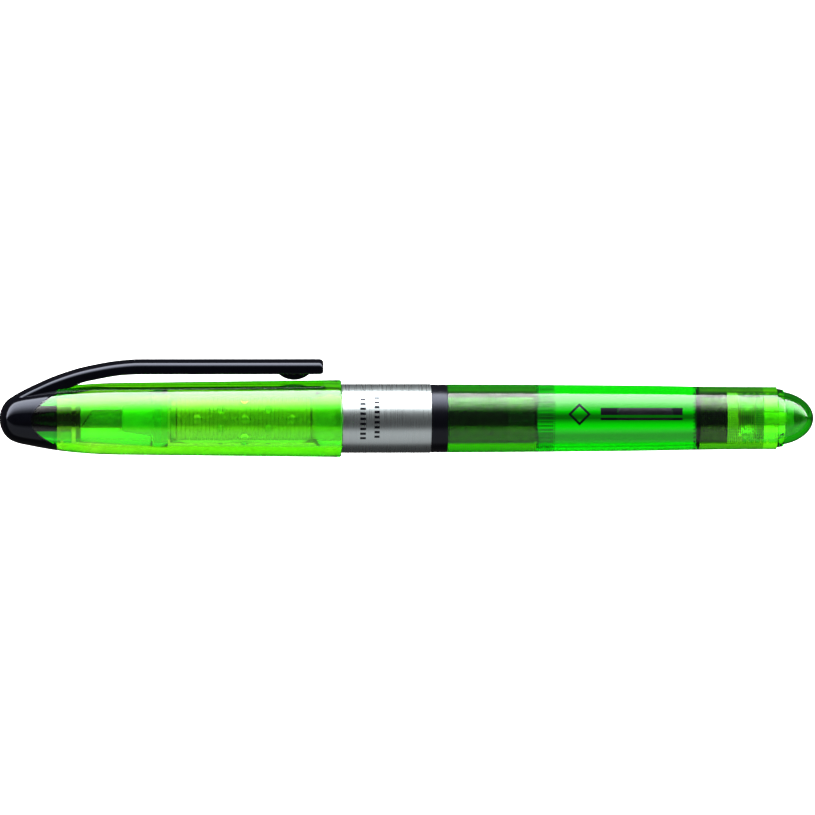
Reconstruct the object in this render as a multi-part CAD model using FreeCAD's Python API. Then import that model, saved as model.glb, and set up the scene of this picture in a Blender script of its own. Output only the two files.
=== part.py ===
"""Highlighter pen with a clip cap: one solid per piece, in millimetres.

+X runs along the pen from the cap's nose to the rear dome, and +Z points to the clip.
The origin is on the pen's axis, at the middle of the silver sleeve.
"""
import FreeCAD, Part
import math
import os

V = FreeCAD.Vector

# ---- driving dimensions (mm) ----
SLEEVE_LENGTH = 15.64      # silver band between cap and barrel
SLEEVE_RADIUS = 6.06
RING_LENGTH = 2.93         # black ring behind the sleeve
RING_RADIUS = 5.97
BARREL_LENGTH = 57.85
BARREL_FRONT_RADIUS = 6.0
BARREL_REAR_RADIUS = 5.49
BARREL_BORE = 4.5
CAP_LENGTH = 59.92         # nose to mouth
CAP_MOUTH_RADIUS = 6.8
CAP_BORE = 5.1
CROWN_LENGTH = 10.1        # nose to the end of the lower tongue
CROWN_WALL = 1.0
GRIP_RADIUS = 4.3
SECTION_BORE = 3.9
NIB_RADIUS = 1.6
CLIP_WIDTH = 4.3
CLIP_TOP = 10.5            # height of the clip's ridge over the axis
CLIP_UNDERSIDE = 7.93
CLIP_TIP_RADIUS = 0.7
DOME_LENGTH = 5.3          # rear dome past its flange
FIT = 0.03                 # gap between pieces pressed together
RUNNING = 0.08             # radial gap between cap and pen
STEM_RADIUS = 1.5
DISC_RADIUS = 3.8
NUB_COUNT = 4
NUB_HEIGHT = 0.17
BUMP_PITCH = 4.15          # along the pen
BUMP_TURN = 21.7           # degrees round the pen
BUMP_RADIUS = 0.66
BUMP_HEIGHT = 0.28
BUMP_PANELS = 3
BUMP_TILT = 4.0            # degrees that the first panel is turned towards the clip
FIRST_SIDE = 180.0         # the first panel faces -Y, measured from +Y towards +Z
FIN_PITCH = 0.72
FIN_THICKNESS = 0.34
REGULATOR_RADIUS = 3.82
REGULATOR_CORE = 2.1
WICK_RADIUS = 1.0
PLUG_GROOVES = 4
PLUG_GROOVE_PITCH = 1.15

# ---- stations along X ----
SLEEVE_FRONT = -SLEEVE_LENGTH / 2
SLEEVE_REAR = SLEEVE_LENGTH / 2
BARREL_FRONT = SLEEVE_REAR + RING_LENGTH
BARREL_REAR = BARREL_FRONT + BARREL_LENGTH
CAP_MOUTH = SLEEVE_FRONT - 0.06
CAP_NOSE = CAP_MOUTH - CAP_LENGTH
CROWN_END = CAP_NOSE + CROWN_LENGTH
WINDOW_FRONT = CAP_NOSE + 5.6
NECK_FRONT = -12.7
GRIP_FRONT = -36.9
COLLAR_FRONT = -37.9       # front face of the section
SEAL_FRONT = -39.5
HOLDER_FLANGE = -40.66
HOLDER_TIP = -46.3
NIB_TIP = -53.3
COUPLING_REAR = 21.2       # end of the black coupling inside the barrel
INK_FRONT = 26.3
STOPPER_FRONT = 54.1
STOPPER_REAR = 60.4
PLUG_SPIGOT_FRONT = 62.6
INNER_CAP_FRONT = -54.4
DISC_REAR = -53.5
STEM_TIP = -64.3
SPIGOT_END = -55.1
NUB_STATION = -9.8
BUMP_CENTRE = -24.88
REGULATOR_FRONT = -36.6
REGULATOR_REAR = -13.2
FLANGE_LENGTH = 1.3
DOME_FRONT = BARREL_REAR + FLANGE_LENGTH

AXIS_X = V(1, 0, 0)
EVERYWHERE = 80            # longer than any piece


def spun(wire_edges):
    """Solid of revolution about X from a closed outline in the XZ plane."""
    face = Part.Face(Part.Wire(wire_edges))
    return face.revolve(V(0, 0, 0), AXIS_X, 360)


def spun_points(points):
    """Solid of revolution from (x, r) corners, joined by straight runs."""
    corners = [V(x, 0, r) for x, r in points]
    closed = corners + corners[:1]
    return spun([Part.LineSegment(a, b).toShape() for a, b in zip(closed, closed[1:])])


def rod(x0, x1, radius):
    return Part.makeCylinder(radius, x1 - x0, V(x0, 0, 0), AXIS_X)


def tube(x0, x1, inner, outer):
    return rod(x0, x1, outer).cut(rod(x0, x1, inner))


def softened(solid, radius, wanted):
    """Fillet the edges for which wanted(edge) is true."""
    edges = [edge for edge in solid.Edges if wanted(edge)]
    return solid.makeFillet(radius, edges)


def circle_at(x, radius):
    """Test for a round edge of this radius that lies in the plane X = x."""
    def test(edge):
        box = edge.BoundBox
        flat = abs(box.XMin - x) < 0.01 and abs(box.XMax - x) < 0.01
        return flat and abs(box.ZMax - radius) < 0.02 and abs(box.ZMin + radius) < 0.02
    return test


# ---- cap: outer form shared by the crown, the nose insert and the shell ----
def cap_form(grow=0.0):
    """The cap's whole outer body: blunt nose, swelling shoulder, slow taper out to the mouth."""
    shoulder = [(1.05, 2.95), (2.63, 4.07), (5.3, 4.72), (10.1, 5.56), (15.4, 6.11), (21.0, 6.34)]
    points = [V(CAP_NOSE - grow, 0, 0)]
    points += [V(CAP_NOSE + x, 0, r + grow) for x, r in shoulder]
    mouth = V(CAP_MOUTH, 0, CAP_MOUTH_RADIUS + grow)
    taper = mouth - points[-1]
    curve = Part.BSplineCurve()
    start = V(0, 0, 1)
    curve.interpolate(Points=points, InitialTangent=start, FinalTangent=taper.normalize(), Scale=False)
    floor = V(CAP_MOUTH, 0, 0)
    return spun([
        curve.toShape(),
        Part.LineSegment(points[-1], mouth).toShape(),
        Part.LineSegment(mouth, floor).toShape(),
        Part.LineSegment(floor, points[0]).toShape(),
    ])


def window_cut():
    """Everything behind the arched edge that opens both sides of the crown, a parabola seen from the side."""
    steepness = 0.19
    reach = 9.0
    count = 12
    heights = [reach * (2 * i / count - 1) for i in range(count + 1)]
    points = [V(WINDOW_FRONT + steepness * z * z, -EVERYWHERE / 2, z) for z in heights]
    arch = Part.BSplineCurve()
    arch.interpolate(points)
    wire = Part.Wire([arch.toShape(), Part.LineSegment(points[-1], points[0]).toShape()])
    return Part.Face(wire).extrude(V(0, EVERYWHERE, 0))


def clip_side():
    """Side outline of the clip with its root, from inside the crown's nose to the tip."""
    root = V(CAP_NOSE + 2.6, 0, 3.6)
    rise = [(5.8, 5.75), (9.1, 7.3), (13.3, 8.76), (17.6, 9.74), (24.0, CLIP_TOP)]
    top_points = [root] + [V(CAP_NOSE + x, 0, z) for x, z in rise]
    top = Part.BSplineCurve()
    top.interpolate(Points=top_points, InitialTangent=V(0.8, 0, 0.6), FinalTangent=V(1, 0, 0), Scale=False)
    tip_x = CAP_MOUTH - 3.15
    tip_top = V(tip_x - CLIP_TIP_RADIUS, 0, CLIP_TOP)
    tip_front = V(tip_x, 0, CLIP_TOP - CLIP_TIP_RADIUS)
    corner = CLIP_TIP_RADIUS * (1 - math.sqrt(0.5))
    tip_mid = V(tip_x - corner, 0, CLIP_TOP - corner)
    heel = 0.4
    heel_front = V(tip_x, 0, CLIP_UNDERSIDE + heel)
    heel_under = V(tip_x - heel, 0, CLIP_UNDERSIDE)
    heel_corner = heel * (1 - math.sqrt(0.5))
    heel_mid = V(tip_x - heel_corner, 0, CLIP_UNDERSIDE + heel_corner)
    lift = [(26.0, CLIP_UNDERSIDE), (21.0, 7.72), (16.6, 6.95), (14.4, 6.42), (11.7, 5.2)]
    under_points = [V(CAP_NOSE + x, 0, z) for x, z in lift]
    under = Part.BSplineCurve()
    dive = V(-0.8, 0, -0.6)
    under.interpolate(Points=under_points, InitialTangent=V(-1, 0, 0), FinalTangent=dive, Scale=False)
    inside = V(CAP_NOSE + 9.0, 0, 3.6)
    return Part.Wire([
        top.toShape(),
        Part.LineSegment(top_points[-1], tip_top).toShape(),
        Part.Arc(tip_top, tip_mid, tip_front).toShape(),
        Part.LineSegment(tip_front, heel_front).toShape(),
        Part.Arc(heel_front, heel_mid, heel_under).toShape(),
        Part.LineSegment(heel_under, under_points[0]).toShape(),
        under.toShape(),
        Part.LineSegment(under_points[-1], inside).toShape(),
        Part.LineSegment(inside, root).toShape(),
    ])


def clip_with_root():
    """The clip and its root before they are parted: side outline across the width, edges rounded off."""
    half = CLIP_WIDTH / 2
    side = Part.Face(clip_side())
    side.translate(V(0, -half, 0))
    blade = side.extrude(V(0, CLIP_WIDTH, 0))
    rounding = 0.75

    def on_ridge(edge):
        box = edge.BoundBox
        outer = abs(abs(box.YMin) - half) < 0.01 and abs(box.YMax - box.YMin) < 0.01
        return outer and box.XMax - box.XMin > 10 and box.ZMax > CLIP_TOP - 0.01
    return softened(blade, rounding, on_ridge)


def clip_pip():
    """Round pad under the clip's tip that presses on the cap."""
    centre_x = -16.2
    radius = 4.1
    lowest = CAP_MOUTH_RADIUS + 0.12
    half = CLIP_WIDTH / 2 - 0.2
    buried = 0.1
    drum = Part.makeCylinder(radius, 2 * half, V(centre_x, -half, lowest + radius), V(0, 1, 0))
    slab_corner = V(centre_x - radius, -half, CLIP_UNDERSIDE + buried - radius)
    slab = Part.makeBox(2 * radius, 2 * half, radius, slab_corner)
    return drum.common(slab)


def make_clip_arm():
    """Springy arm of the clip: it saddles the shell at its root and lifts clear of it further on."""
    clear = 0.25
    arm = clip_with_root().fuse(clip_pip())
    keep = Part.makeBox(EVERYWHERE, EVERYWHERE, EVERYWHERE, V(CROWN_END + FIT, -EVERYWHERE / 2, 0))
    return arm.common(keep).cut(cap_form(clear)).removeSplitter()


def make_crown():
    """Black crown: a thin dome with an arched opening each side, a lower tongue and the clip's root."""
    front = Part.makeBox(CROWN_LENGTH + 1, 40, 40, V(CAP_NOSE - 1, -20, -20))
    dome = cap_form().cut(window_cut()).common(front)
    root = clip_with_root().common(front)
    return dome.fuse(root).cut(cap_form(-CROWN_WALL)).removeSplitter()


def make_nose_insert():
    """Clear nose under the crown: it fills the crown's openings and plugs into the shell."""
    front = Part.makeBox(CROWN_LENGTH + 1, 40, 40, V(CAP_NOSE - 1, -20, -20))
    under_crown = cap_form(-CROWN_WALL - FIT).common(front)
    in_openings = cap_form().common(window_cut()).common(front)
    spigot = rod(CROWN_END - 0.5, SPIGOT_END, 4.35)
    groove = tube(CROWN_END + 0.75, CROWN_END + 1.2, 3.9, 5)
    hollow = rod(STEM_TIP - 0.1, SPIGOT_END + 1, STEM_RADIUS + FIT)
    body = under_crown.fuse([in_openings, spigot])
    return body.cut([hollow, groove, make_crown()]).removeSplitter()


def make_cap_shell():
    """Clear cap tube: the bore narrows towards the nose insert and has a snap groove near its mouth."""
    form = cap_form()
    behind = Part.makeBox(EVERYWHERE, 40, 40, V(CROWN_END, -20, -20))
    neck_in = CROWN_END + 2.6
    bore = spun_points([
        (CROWN_END - 1, 0), (CROWN_END - 1, 4.35 + FIT), (neck_in, 4.35 + FIT),
        (neck_in + 3.4, CAP_BORE), (CAP_MOUTH + 1, CAP_BORE), (CAP_MOUTH + 1, 0),
    ])
    groove = tube(NUB_STATION - 1.2, NUB_STATION + 1.2, CAP_BORE - 0.5, CAP_BORE + 0.15)
    shell = form.common(behind).cut(bore).cut(groove)
    shell = softened(shell, 0.35, circle_at(CAP_MOUTH, CAP_MOUTH_RADIUS))
    return softened(shell, 0.2, circle_at(CAP_MOUTH, CAP_BORE))


def make_inner_cap():
    """Clear inner cap that keeps the nib wet: a tapered tube with a collar over the holder's flange."""
    wall_front = 4.13
    collar = HOLDER_FLANGE - 0.6
    mouth = -38.3
    return spun_points([
        (INNER_CAP_FRONT, DISC_RADIUS + FIT), (INNER_CAP_FRONT, wall_front), (collar, 4.85),
        (collar + 0.8, CAP_BORE - FIT), (mouth, CAP_BORE - FIT), (mouth, GRIP_RADIUS + RUNNING + 0.05),
        (collar + 0.3, GRIP_RADIUS + RUNNING + 0.05), (collar, 4.15),
        (DISC_REAR, 3.55), (DISC_REAR, DISC_RADIUS + FIT),
    ])


def make_cap_seal():
    """Dark sealing disc in the inner cap's front end, on a stem that plugs into the nose insert."""
    return spun_points([
        (STEM_TIP, 0), (STEM_TIP, STEM_RADIUS - 0.3), (STEM_TIP + 0.3, STEM_RADIUS),
        (INNER_CAP_FRONT, STEM_RADIUS), (INNER_CAP_FRONT, DISC_RADIUS), (DISC_REAR - FIT, DISC_RADIUS),
        (DISC_REAR - FIT, 0),
    ])


# ---- pen front ----


def make_nib():
    """Felt chisel nib: a rod cut to a slant, with narrowed flanks."""
    body = rod(NIB_TIP, -36.6, NIB_RADIUS)
    slant = math.degrees(math.atan2(2.0, 2 * NIB_RADIUS))
    knife = Part.makeBox(10, 20, 20, V(-10, -10, -10))
    knife.rotate(V(0, 0, 0), V(0, 1, 0), slant)
    knife.translate(V(NIB_TIP + 1.0, 0, 0))
    body = body.cut(knife)
    for side in (1, -1):
        cheek = Part.makeBox(6, 4, 8, V(0, 0, -4))
        cheek.rotate(V(0, 0, 0), V(0, 0, 1), 14)
        cheek.translate(V(NIB_TIP - 0.4, 0.95, 0))
        if side < 0:
            cheek = cheek.mirror(V(0, 0, 0), V(0, 1, 0))
        body = body.cut(cheek)
    return body


def make_nib_holder():
    """Cone that grips the nib, with a sealing flange and a spigot into the section."""
    return spun_points([
        (HOLDER_TIP, NIB_RADIUS + FIT), (HOLDER_TIP, 2.0), (HOLDER_TIP + 0.25, 2.25), (HOLDER_FLANGE, 3.25),
        (HOLDER_FLANGE, GRIP_RADIUS), (SEAL_FRONT, GRIP_RADIUS), (SEAL_FRONT, 3.7),
        (COLLAR_FRONT, 3.7), (COLLAR_FRONT, SECTION_BORE - FIT), (GRIP_FRONT, SECTION_BORE - FIT),
        (GRIP_FRONT, NIB_RADIUS + FIT),
    ])


def make_front_seal():
    """Soft ring between the holder's flange and the section, narrower than the gap it sits in."""
    return tube(SEAL_FRONT, -38.3, 3.7 + FIT, GRIP_RADIUS)


def bumps():
    """Round bumps in diamonds of nine, one diamond on each of three sides of the grip."""
    ball = (BUMP_RADIUS ** 2 + BUMP_HEIGHT ** 2) / (2 * BUMP_HEIGHT)
    found = []
    for panel in range(BUMP_PANELS):
        middle = FIRST_SIDE - BUMP_TILT + panel * 360 / BUMP_PANELS
        for row in range(-2, 3):
            across = 3 - abs(row)
            for place in range(across):
                turn = middle + BUMP_TURN * (2 * place - across + 1)
                found.append((BUMP_CENTRE + row * BUMP_PITCH, turn, ball))
    return found


def make_section():
    """Clear front section: collar, bumpy grip, neck with snap nubs, and a wide tail in the sleeve."""
    neck = CAP_BORE - 0.25
    body = spun_points([
        (COLLAR_FRONT, SECTION_BORE), (COLLAR_FRONT, 4.1), (COLLAR_FRONT + 0.2, GRIP_RADIUS),
        (NECK_FRONT, GRIP_RADIUS), (NECK_FRONT + 0.5, neck), (SLEEVE_FRONT, neck),
        (SLEEVE_FRONT, 5.5), (SLEEVE_REAR, 5.5), (SLEEVE_REAR, SECTION_BORE),
    ])
    extras = []
    for x, turn, ball in bumps():
        dome = Part.makeSphere(ball, V(x, 0, 0))
        dome.translate(V(0, GRIP_RADIUS + BUMP_HEIGHT - ball, 0))
        dome.rotate(V(0, 0, 0), AXIS_X, turn)
        extras.append(dome)
    for index in range(NUB_COUNT):
        nub = Part.makeCone(0.95, 0.25, NUB_HEIGHT + 0.35, V(NUB_STATION, neck - 0.35, 0), V(0, 1, 0))
        nub.rotate(V(0, 0, 0), AXIS_X, 118 + index * 360 / NUB_COUNT)
        extras.append(nub)
    hollow = rod(COLLAR_FRONT - 1, SLEEVE_REAR + 1, SECTION_BORE)
    return body.fuse(extras).cut(hollow).removeSplitter()


def make_ink_regulator():
    """Comb of thin round fins on a core: ink collects between the fins when the air in the barrel warms."""
    outline = [(REGULATOR_FRONT, WICK_RADIUS + FIT), (REGULATOR_FRONT, REGULATOR_CORE)]
    count = int((REGULATOR_REAR - REGULATOR_FRONT - 0.6) / FIN_PITCH)
    for index in range(count):
        x = REGULATOR_FRONT + 0.3 + index * FIN_PITCH
        outline += [(x, REGULATOR_CORE), (x, REGULATOR_RADIUS)]
        outline += [(x + FIN_THICKNESS, REGULATOR_RADIUS), (x + FIN_THICKNESS, REGULATOR_CORE)]
    outline += [(REGULATOR_REAR, REGULATOR_CORE), (REGULATOR_REAR, WICK_RADIUS + FIT)]
    return spun_points(outline)


def make_feed_wick():
    """Fibre rod that carries ink from the barrel to the nib."""
    return rod(-36.5, COUPLING_REAR - 2, WICK_RADIUS)


def make_regulator_seal():
    """Light plug behind the regulator, with two ribs that close the section's bore."""
    outer = SECTION_BORE - FIT
    return spun_points([
        (REGULATOR_REAR + 0.3, WICK_RADIUS + FIT), (REGULATOR_REAR + 0.3, outer), (-6.0, outer),
        (-6.0, 2.6), (-4.6, 2.6), (-4.6, outer), (-3.4, outer), (-3.4, WICK_RADIUS + FIT),
    ])


# ---- pen middle and rear ----
def make_sleeve():
    """Thin silver tube pressed over the section's tail."""
    sleeve = tube(SLEEVE_FRONT, SLEEVE_REAR, 5.5 + FIT, SLEEVE_RADIUS)
    return softened(sleeve, 0.12, circle_at(SLEEVE_FRONT, SLEEVE_RADIUS))


def make_coupling():
    """Black coupling: a ring that shows between sleeve and barrel, with a spigot into each."""
    bore = 1.9
    outer = BARREL_BORE - FIT
    return spun_points([
        (1.6, bore), (1.6, 3.1), (2.2, SECTION_BORE - FIT), (SLEEVE_REAR, SECTION_BORE - FIT),
        (SLEEVE_REAR, RING_RADIUS - 0.1), (SLEEVE_REAR + 0.1, RING_RADIUS),
        (BARREL_FRONT - 0.1, RING_RADIUS), (BARREL_FRONT, RING_RADIUS - 0.1), (BARREL_FRONT, outer),
        (COUPLING_REAR, outer), (COUPLING_REAR, bore),
    ])


def make_barrel():
    """Clear barrel, open at both ends, slowly slimmer to the rear."""
    stations = [(0.31, -0.10), (0.61, -0.26), (0.77, -0.42)]
    points = [V(BARREL_FRONT, 0, BARREL_FRONT_RADIUS)]
    points += [V(BARREL_FRONT + f * BARREL_LENGTH, 0, BARREL_FRONT_RADIUS + dr) for f, dr in stations]
    points += [V(BARREL_REAR, 0, BARREL_REAR_RADIUS)]
    curve = Part.BSplineCurve()
    curve.interpolate(points)
    rear = V(BARREL_REAR, 0, BARREL_BORE)
    front = V(BARREL_FRONT, 0, BARREL_BORE)
    return spun([
        curve.toShape(),
        Part.LineSegment(points[-1], rear).toShape(),
        Part.LineSegment(rear, front).toShape(),
        Part.LineSegment(front, points[0]).toShape(),
    ])


def make_reservoir_seal():
    """Translucent seal at the front of the ink space, with a feed hole."""
    outer = BARREL_BORE - FIT
    lip = 0.5
    return spun_points([
        (COUPLING_REAR + FIT, WICK_RADIUS), (COUPLING_REAR + FIT, outer), (INK_FRONT - lip, outer),
        (INK_FRONT, outer - lip), (INK_FRONT, 2.4), (INK_FRONT - 2.2, WICK_RADIUS),
    ])


def make_ink():
    """Free ink that fills the barrel between the front seal and the stopper."""
    skin = BARREL_BORE - 0.01
    return rod(INK_FRONT + FIT, STOPPER_FRONT + 1.0, skin).cut(stopper_form(FIT))


def domed_end(tip_x, rim_x, rim_radius):
    """Round-arc edge from a tip on the axis to a rim, square to the axis at the tip."""
    depth = rim_x - tip_x
    ball = (rim_radius ** 2 + depth ** 2) / (2 * depth)
    half = math.asin(rim_radius / abs(ball)) / 2
    middle = V(tip_x + ball * (1 - math.cos(half)), 0, abs(ball) * math.sin(half))
    return Part.Arc(V(tip_x, 0, 0), middle, V(rim_x, 0, rim_radius)).toShape()


def stopper_form(grow=0.0):
    """Stopper body: a cylinder with a rounded nose and a rounded back."""
    outer = BARREL_BORE - FIT
    tip_x = STOPPER_FRONT - grow
    shoulder_x = STOPPER_FRONT + 1.1
    heel_x = STOPPER_REAR - 0.6
    back_x = STOPPER_REAR + 0.4 + grow
    return spun([
        domed_end(tip_x, shoulder_x, outer),
        Part.LineSegment(V(shoulder_x, 0, outer), V(heel_x, 0, outer)).toShape(),
        domed_end(back_x, heel_x, outer),
        Part.LineSegment(V(back_x, 0, 0), V(tip_x, 0, 0)).toShape(),
    ])


def make_stopper():
    """Black rear stopper."""
    return stopper_form()


def make_stopper_seal():
    """Light soft ring behind the stopper, dished to fit its back."""
    ring = tube(STOPPER_REAR - 0.6, STOPPER_REAR + 1.2, 1.2, BARREL_BORE - FIT)
    return ring.cut(stopper_form(FIT))


def make_end_plug():
    """Clear end plug: hollow ribbed spigot in the barrel, stepped flange and a thin rounded dome."""
    spigot = BARREL_BORE - FIT
    flange = 5.2
    dome_base = 4.65
    wall = 0.9
    ellipse_long = DOME_LENGTH * 1.32
    inner_long = ellipse_long - wall

    def dome(base, long_axis, tip):
        """Half-meridian of a rounded cap that starts at DOME_FRONT with radius base and ends on the axis."""
        count = 7
        start = math.acos((DOME_FRONT - (tip - long_axis)) / long_axis)
        short_axis = base / math.sin(start)
        turns = [start * (1 - i / count) for i in range(count + 1)]
        points = [V(tip - long_axis + long_axis * math.cos(t), 0, short_axis * math.sin(t)) for t in turns]
        lead = V(long_axis * math.sin(start), 0, -short_axis * math.cos(start)).normalize()
        curve = Part.BSplineCurve()
        curve.interpolate(Points=points, InitialTangent=lead, FinalTangent=V(0, 0, -1), Scale=False)
        return curve.toShape(), points[0], points[-1]
    tip = DOME_FRONT + DOME_LENGTH
    outer_edge, outer_start, outer_tip = dome(dome_base, ellipse_long, tip)
    inner_edge, inner_start, inner_tip = dome(dome_base - wall, inner_long, tip - wall)
    outline = [
        inner_start, V(PLUG_SPIGOT_FRONT, 0, dome_base - wall), V(PLUG_SPIGOT_FRONT, 0, spigot),
        V(BARREL_REAR, 0, spigot), V(BARREL_REAR, 0, flange - 0.1), V(BARREL_REAR + 0.1, 0, flange),
        V(DOME_FRONT - 0.2, 0, flange - 0.17), V(DOME_FRONT, 0, 4.9), outer_start,
    ]
    edges = [Part.LineSegment(a, b).toShape() for a, b in zip(outline, outline[1:])]
    edges += [outer_edge, Part.LineSegment(outer_tip, inner_tip).toShape(), inner_edge]
    plug = spun(edges)
    for index in range(PLUG_GROOVES):
        x = PLUG_SPIGOT_FRONT + 0.6 + index * PLUG_GROOVE_PITCH
        plug = plug.cut(tube(x, x + 0.5, 4.1, spigot + 1))
    return plug


def make_plug_disc():
    """Light valve disc inside the dome, on a stem that runs back to a ring pressed in the spigot."""
    return spun_points([
        (65.0, 0), (65.0, 3.7), (66.2, 3.7), (66.2, 1.0), (70.4, 1.0), (70.4, 2.95), (71.4, 2.95), (71.4, 0),
    ])


MAKERS = {
    "crown": make_crown,
    "clip_arm": make_clip_arm,
    "nose_insert": make_nose_insert,
    "cap_shell": make_cap_shell,
    "inner_cap": make_inner_cap,
    "cap_seal": make_cap_seal,
    "nib": make_nib,
    "nib_holder": make_nib_holder,
    "front_seal": make_front_seal,
    "section": make_section,
    "ink_regulator": make_ink_regulator,
    "feed_wick": make_feed_wick,
    "regulator_seal": make_regulator_seal,
    "sleeve": make_sleeve,
    "coupling": make_coupling,
    "barrel": make_barrel,
    "reservoir_seal": make_reservoir_seal,
    "ink": make_ink,
    "stopper": make_stopper,
    "stopper_seal": make_stopper_seal,
    "end_plug": make_end_plug,
    "plug_disc": make_plug_disc,
}

os.makedirs("parts", exist_ok=True)
for node, maker in MAKERS.items():
    shape = maker()
    shape.exportStep("parts/" + node + ".step")
    box = shape.BoundBox
    print(node, len(shape.Solids), shape.isValid(), round(shape.Volume, 2),
          [round(v, 2) for v in (box.XMin, box.XMax, box.YMin, box.YMax, box.ZMin, box.ZMax)])
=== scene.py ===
"""Highlighter pen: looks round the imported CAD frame.

Blender objects are in metres in the frame's own axes (+X to the rear, +Z to the clip).
Outlines are written in millimetres as (x, radius) and scaled when their mesh is made.
"""
import bpy
import bmesh
import math
from mathutils import Matrix, Vector


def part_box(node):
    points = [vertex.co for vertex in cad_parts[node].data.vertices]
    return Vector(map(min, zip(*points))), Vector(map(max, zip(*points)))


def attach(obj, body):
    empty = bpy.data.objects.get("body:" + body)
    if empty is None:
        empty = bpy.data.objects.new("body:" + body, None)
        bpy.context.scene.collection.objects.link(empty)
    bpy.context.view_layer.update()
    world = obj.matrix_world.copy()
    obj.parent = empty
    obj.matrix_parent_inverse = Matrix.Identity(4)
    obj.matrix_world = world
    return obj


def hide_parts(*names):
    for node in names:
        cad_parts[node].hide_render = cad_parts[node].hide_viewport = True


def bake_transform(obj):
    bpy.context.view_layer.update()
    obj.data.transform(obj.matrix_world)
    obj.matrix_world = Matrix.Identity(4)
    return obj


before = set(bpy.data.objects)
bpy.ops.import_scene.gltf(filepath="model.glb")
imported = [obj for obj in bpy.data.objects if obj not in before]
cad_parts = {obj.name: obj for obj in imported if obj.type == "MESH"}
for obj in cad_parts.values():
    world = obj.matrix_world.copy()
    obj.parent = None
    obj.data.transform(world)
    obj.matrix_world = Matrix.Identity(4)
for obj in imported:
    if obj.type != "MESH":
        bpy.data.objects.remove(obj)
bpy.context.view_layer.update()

MM = 0.001
NEARLY_STRAIGHT = math.radians(155)


# ---- places read from the frame, in millimetres ----
def low(node, axis=0):
    """Lowest place of a node along an axis."""
    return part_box(node)[0][axis] / MM


def high(node, axis=0):
    """Highest place of a node along an axis."""
    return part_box(node)[1][axis] / MM


def outer(node):
    """Largest radius of a turned node."""
    return high(node, 2)


NOSE = low("crown")
CROWN_END = high("crown")
MOUTH = high("cap_shell")
SPIGOT_END = high("nose_insert")
SEAL_END = high("cap_seal")
INNER_CAP_FRONT = low("inner_cap")
INNER_CAP_MOUTH = high("inner_cap")
SLEEVE_FRONT = low("sleeve")
SLEEVE_REAR = high("sleeve")
BARREL_FRONT = low("barrel")
BARREL_REAR = high("barrel")
SECTION_FRONT = low("section")
INK_FRONT = low("ink")
INK_REAR = low("stopper")
TIP = high("end_plug")
FIT = 0.03                 # gap between pieces pressed together
CAP_BORE = outer("inner_cap") + FIT
SECTION_BORE = outer("regulator_seal") + FIT
SECTION_TAIL = outer("section")
GRIP_RADIUS = outer("front_seal")
BARREL_BORE = outer("reservoir_seal") + FIT
MOUTH_RADIUS = outer("cap_shell")
BARREL_RADIUS = outer("barrel")
SLEEVE_RADIUS = outer("sleeve")
RING_RADIUS = outer("coupling")


# ---- meshes ----
def bare_object(name, verts, faces, material):
    """A linked object whose corners are given in millimetres."""
    mesh = bpy.data.meshes.new(name)
    mesh.from_pydata([[c * MM for c in v] for v in verts], [], faces)
    mesh.update()
    mesh.materials.append(material)
    thing = bpy.data.objects.new(name, mesh)
    bpy.context.scene.collection.objects.link(thing)
    return thing


def new_piece(name, verts, faces, body, material, replaces=(), crease=35):
    """A piece that rides on a body, with edges sharper than crease degrees kept sharp."""
    piece = bare_object(name, verts, faces, material)
    piece.data.shade_smooth()
    piece.data.set_sharp_from_angle(angle=math.radians(crease))
    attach(piece, body)
    if replaces:
        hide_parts(*replaces)
    return piece


def eased(outline, radius):
    """The closed outline with each sharp corner replaced by a small round of three points."""
    count = len(outline)
    result = []
    for i, here in enumerate(outline):
        p, a, b = Vector(here), Vector(outline[i - 1]), Vector(outline[(i + 1) % count])
        to_a, to_b = a - p, b - p
        if to_a.length < 1e-6 or to_b.length < 1e-6 or to_a.angle(to_b) > NEARLY_STRAIGHT:
            result.append(here)
            continue
        cut = min(radius, 0.45 * to_a.length, 0.45 * to_b.length)
        start, end = p + to_a.normalized() * cut, p + to_b.normalized() * cut
        middle = p * 0.5 + (start + end) * 0.25
        result += [tuple(start), tuple(middle), tuple(end)]
    return result


def lathe_ring(x, r, first, segments, relief):
    """Vertices round the pen at one point of an outline: just one where it meets the axis."""
    if r < 1e-6:
        return [(x, 0, 0)], [first]
    verts = []
    for k in range(segments):
        turn = 2 * math.pi * k / segments
        reach = r + (relief(x, turn, r) if relief else 0)
        verts.append((x, reach * math.cos(turn), reach * math.sin(turn)))
    return verts, list(range(first, first + segments))


def turned_mesh(outline, segments, relief=None):
    """Vertices and faces of a lathe about X. An outline is a loop unless both its ends are on the axis."""
    on_axis = outline[0][1] < 1e-6 and outline[-1][1] < 1e-6
    verts, rings = [], []
    for x, r in outline:
        points, ring = lathe_ring(x, r, len(verts), segments, relief)
        verts += points
        rings.append(ring)
    faces = []
    pairs = list(zip(rings, rings[1:]))
    if not on_axis:
        pairs.append((rings[-1], rings[0]))
    for a, b in pairs:
        if len(a) == 1 and len(b) == 1:
            continue
        for k in range(segments):
            n = (k + 1) % segments
            if len(a) == 1:
                faces.append((a[0], b[n], b[k]))
            elif len(b) == 1:
                faces.append((a[k], a[n], b[0]))
            else:
                faces.append((a[k], a[n], b[n], b[k]))
    return verts, faces


def facing_out(piece):
    """Turn all faces outwards."""
    bm = bmesh.new()
    bm.from_mesh(piece.data)
    bmesh.ops.recalc_face_normals(bm, faces=bm.faces)
    bm.to_mesh(piece.data)
    bm.free()


def turned(name, outline, body, material, replaces, segments, relief=None, crease=35):
    """A piece turned about the pen's axis."""
    verts, faces = turned_mesh(outline, segments, relief)
    piece = new_piece(name, verts, faces, body, material, replaces, crease)
    facing_out(piece)
    return piece


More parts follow.
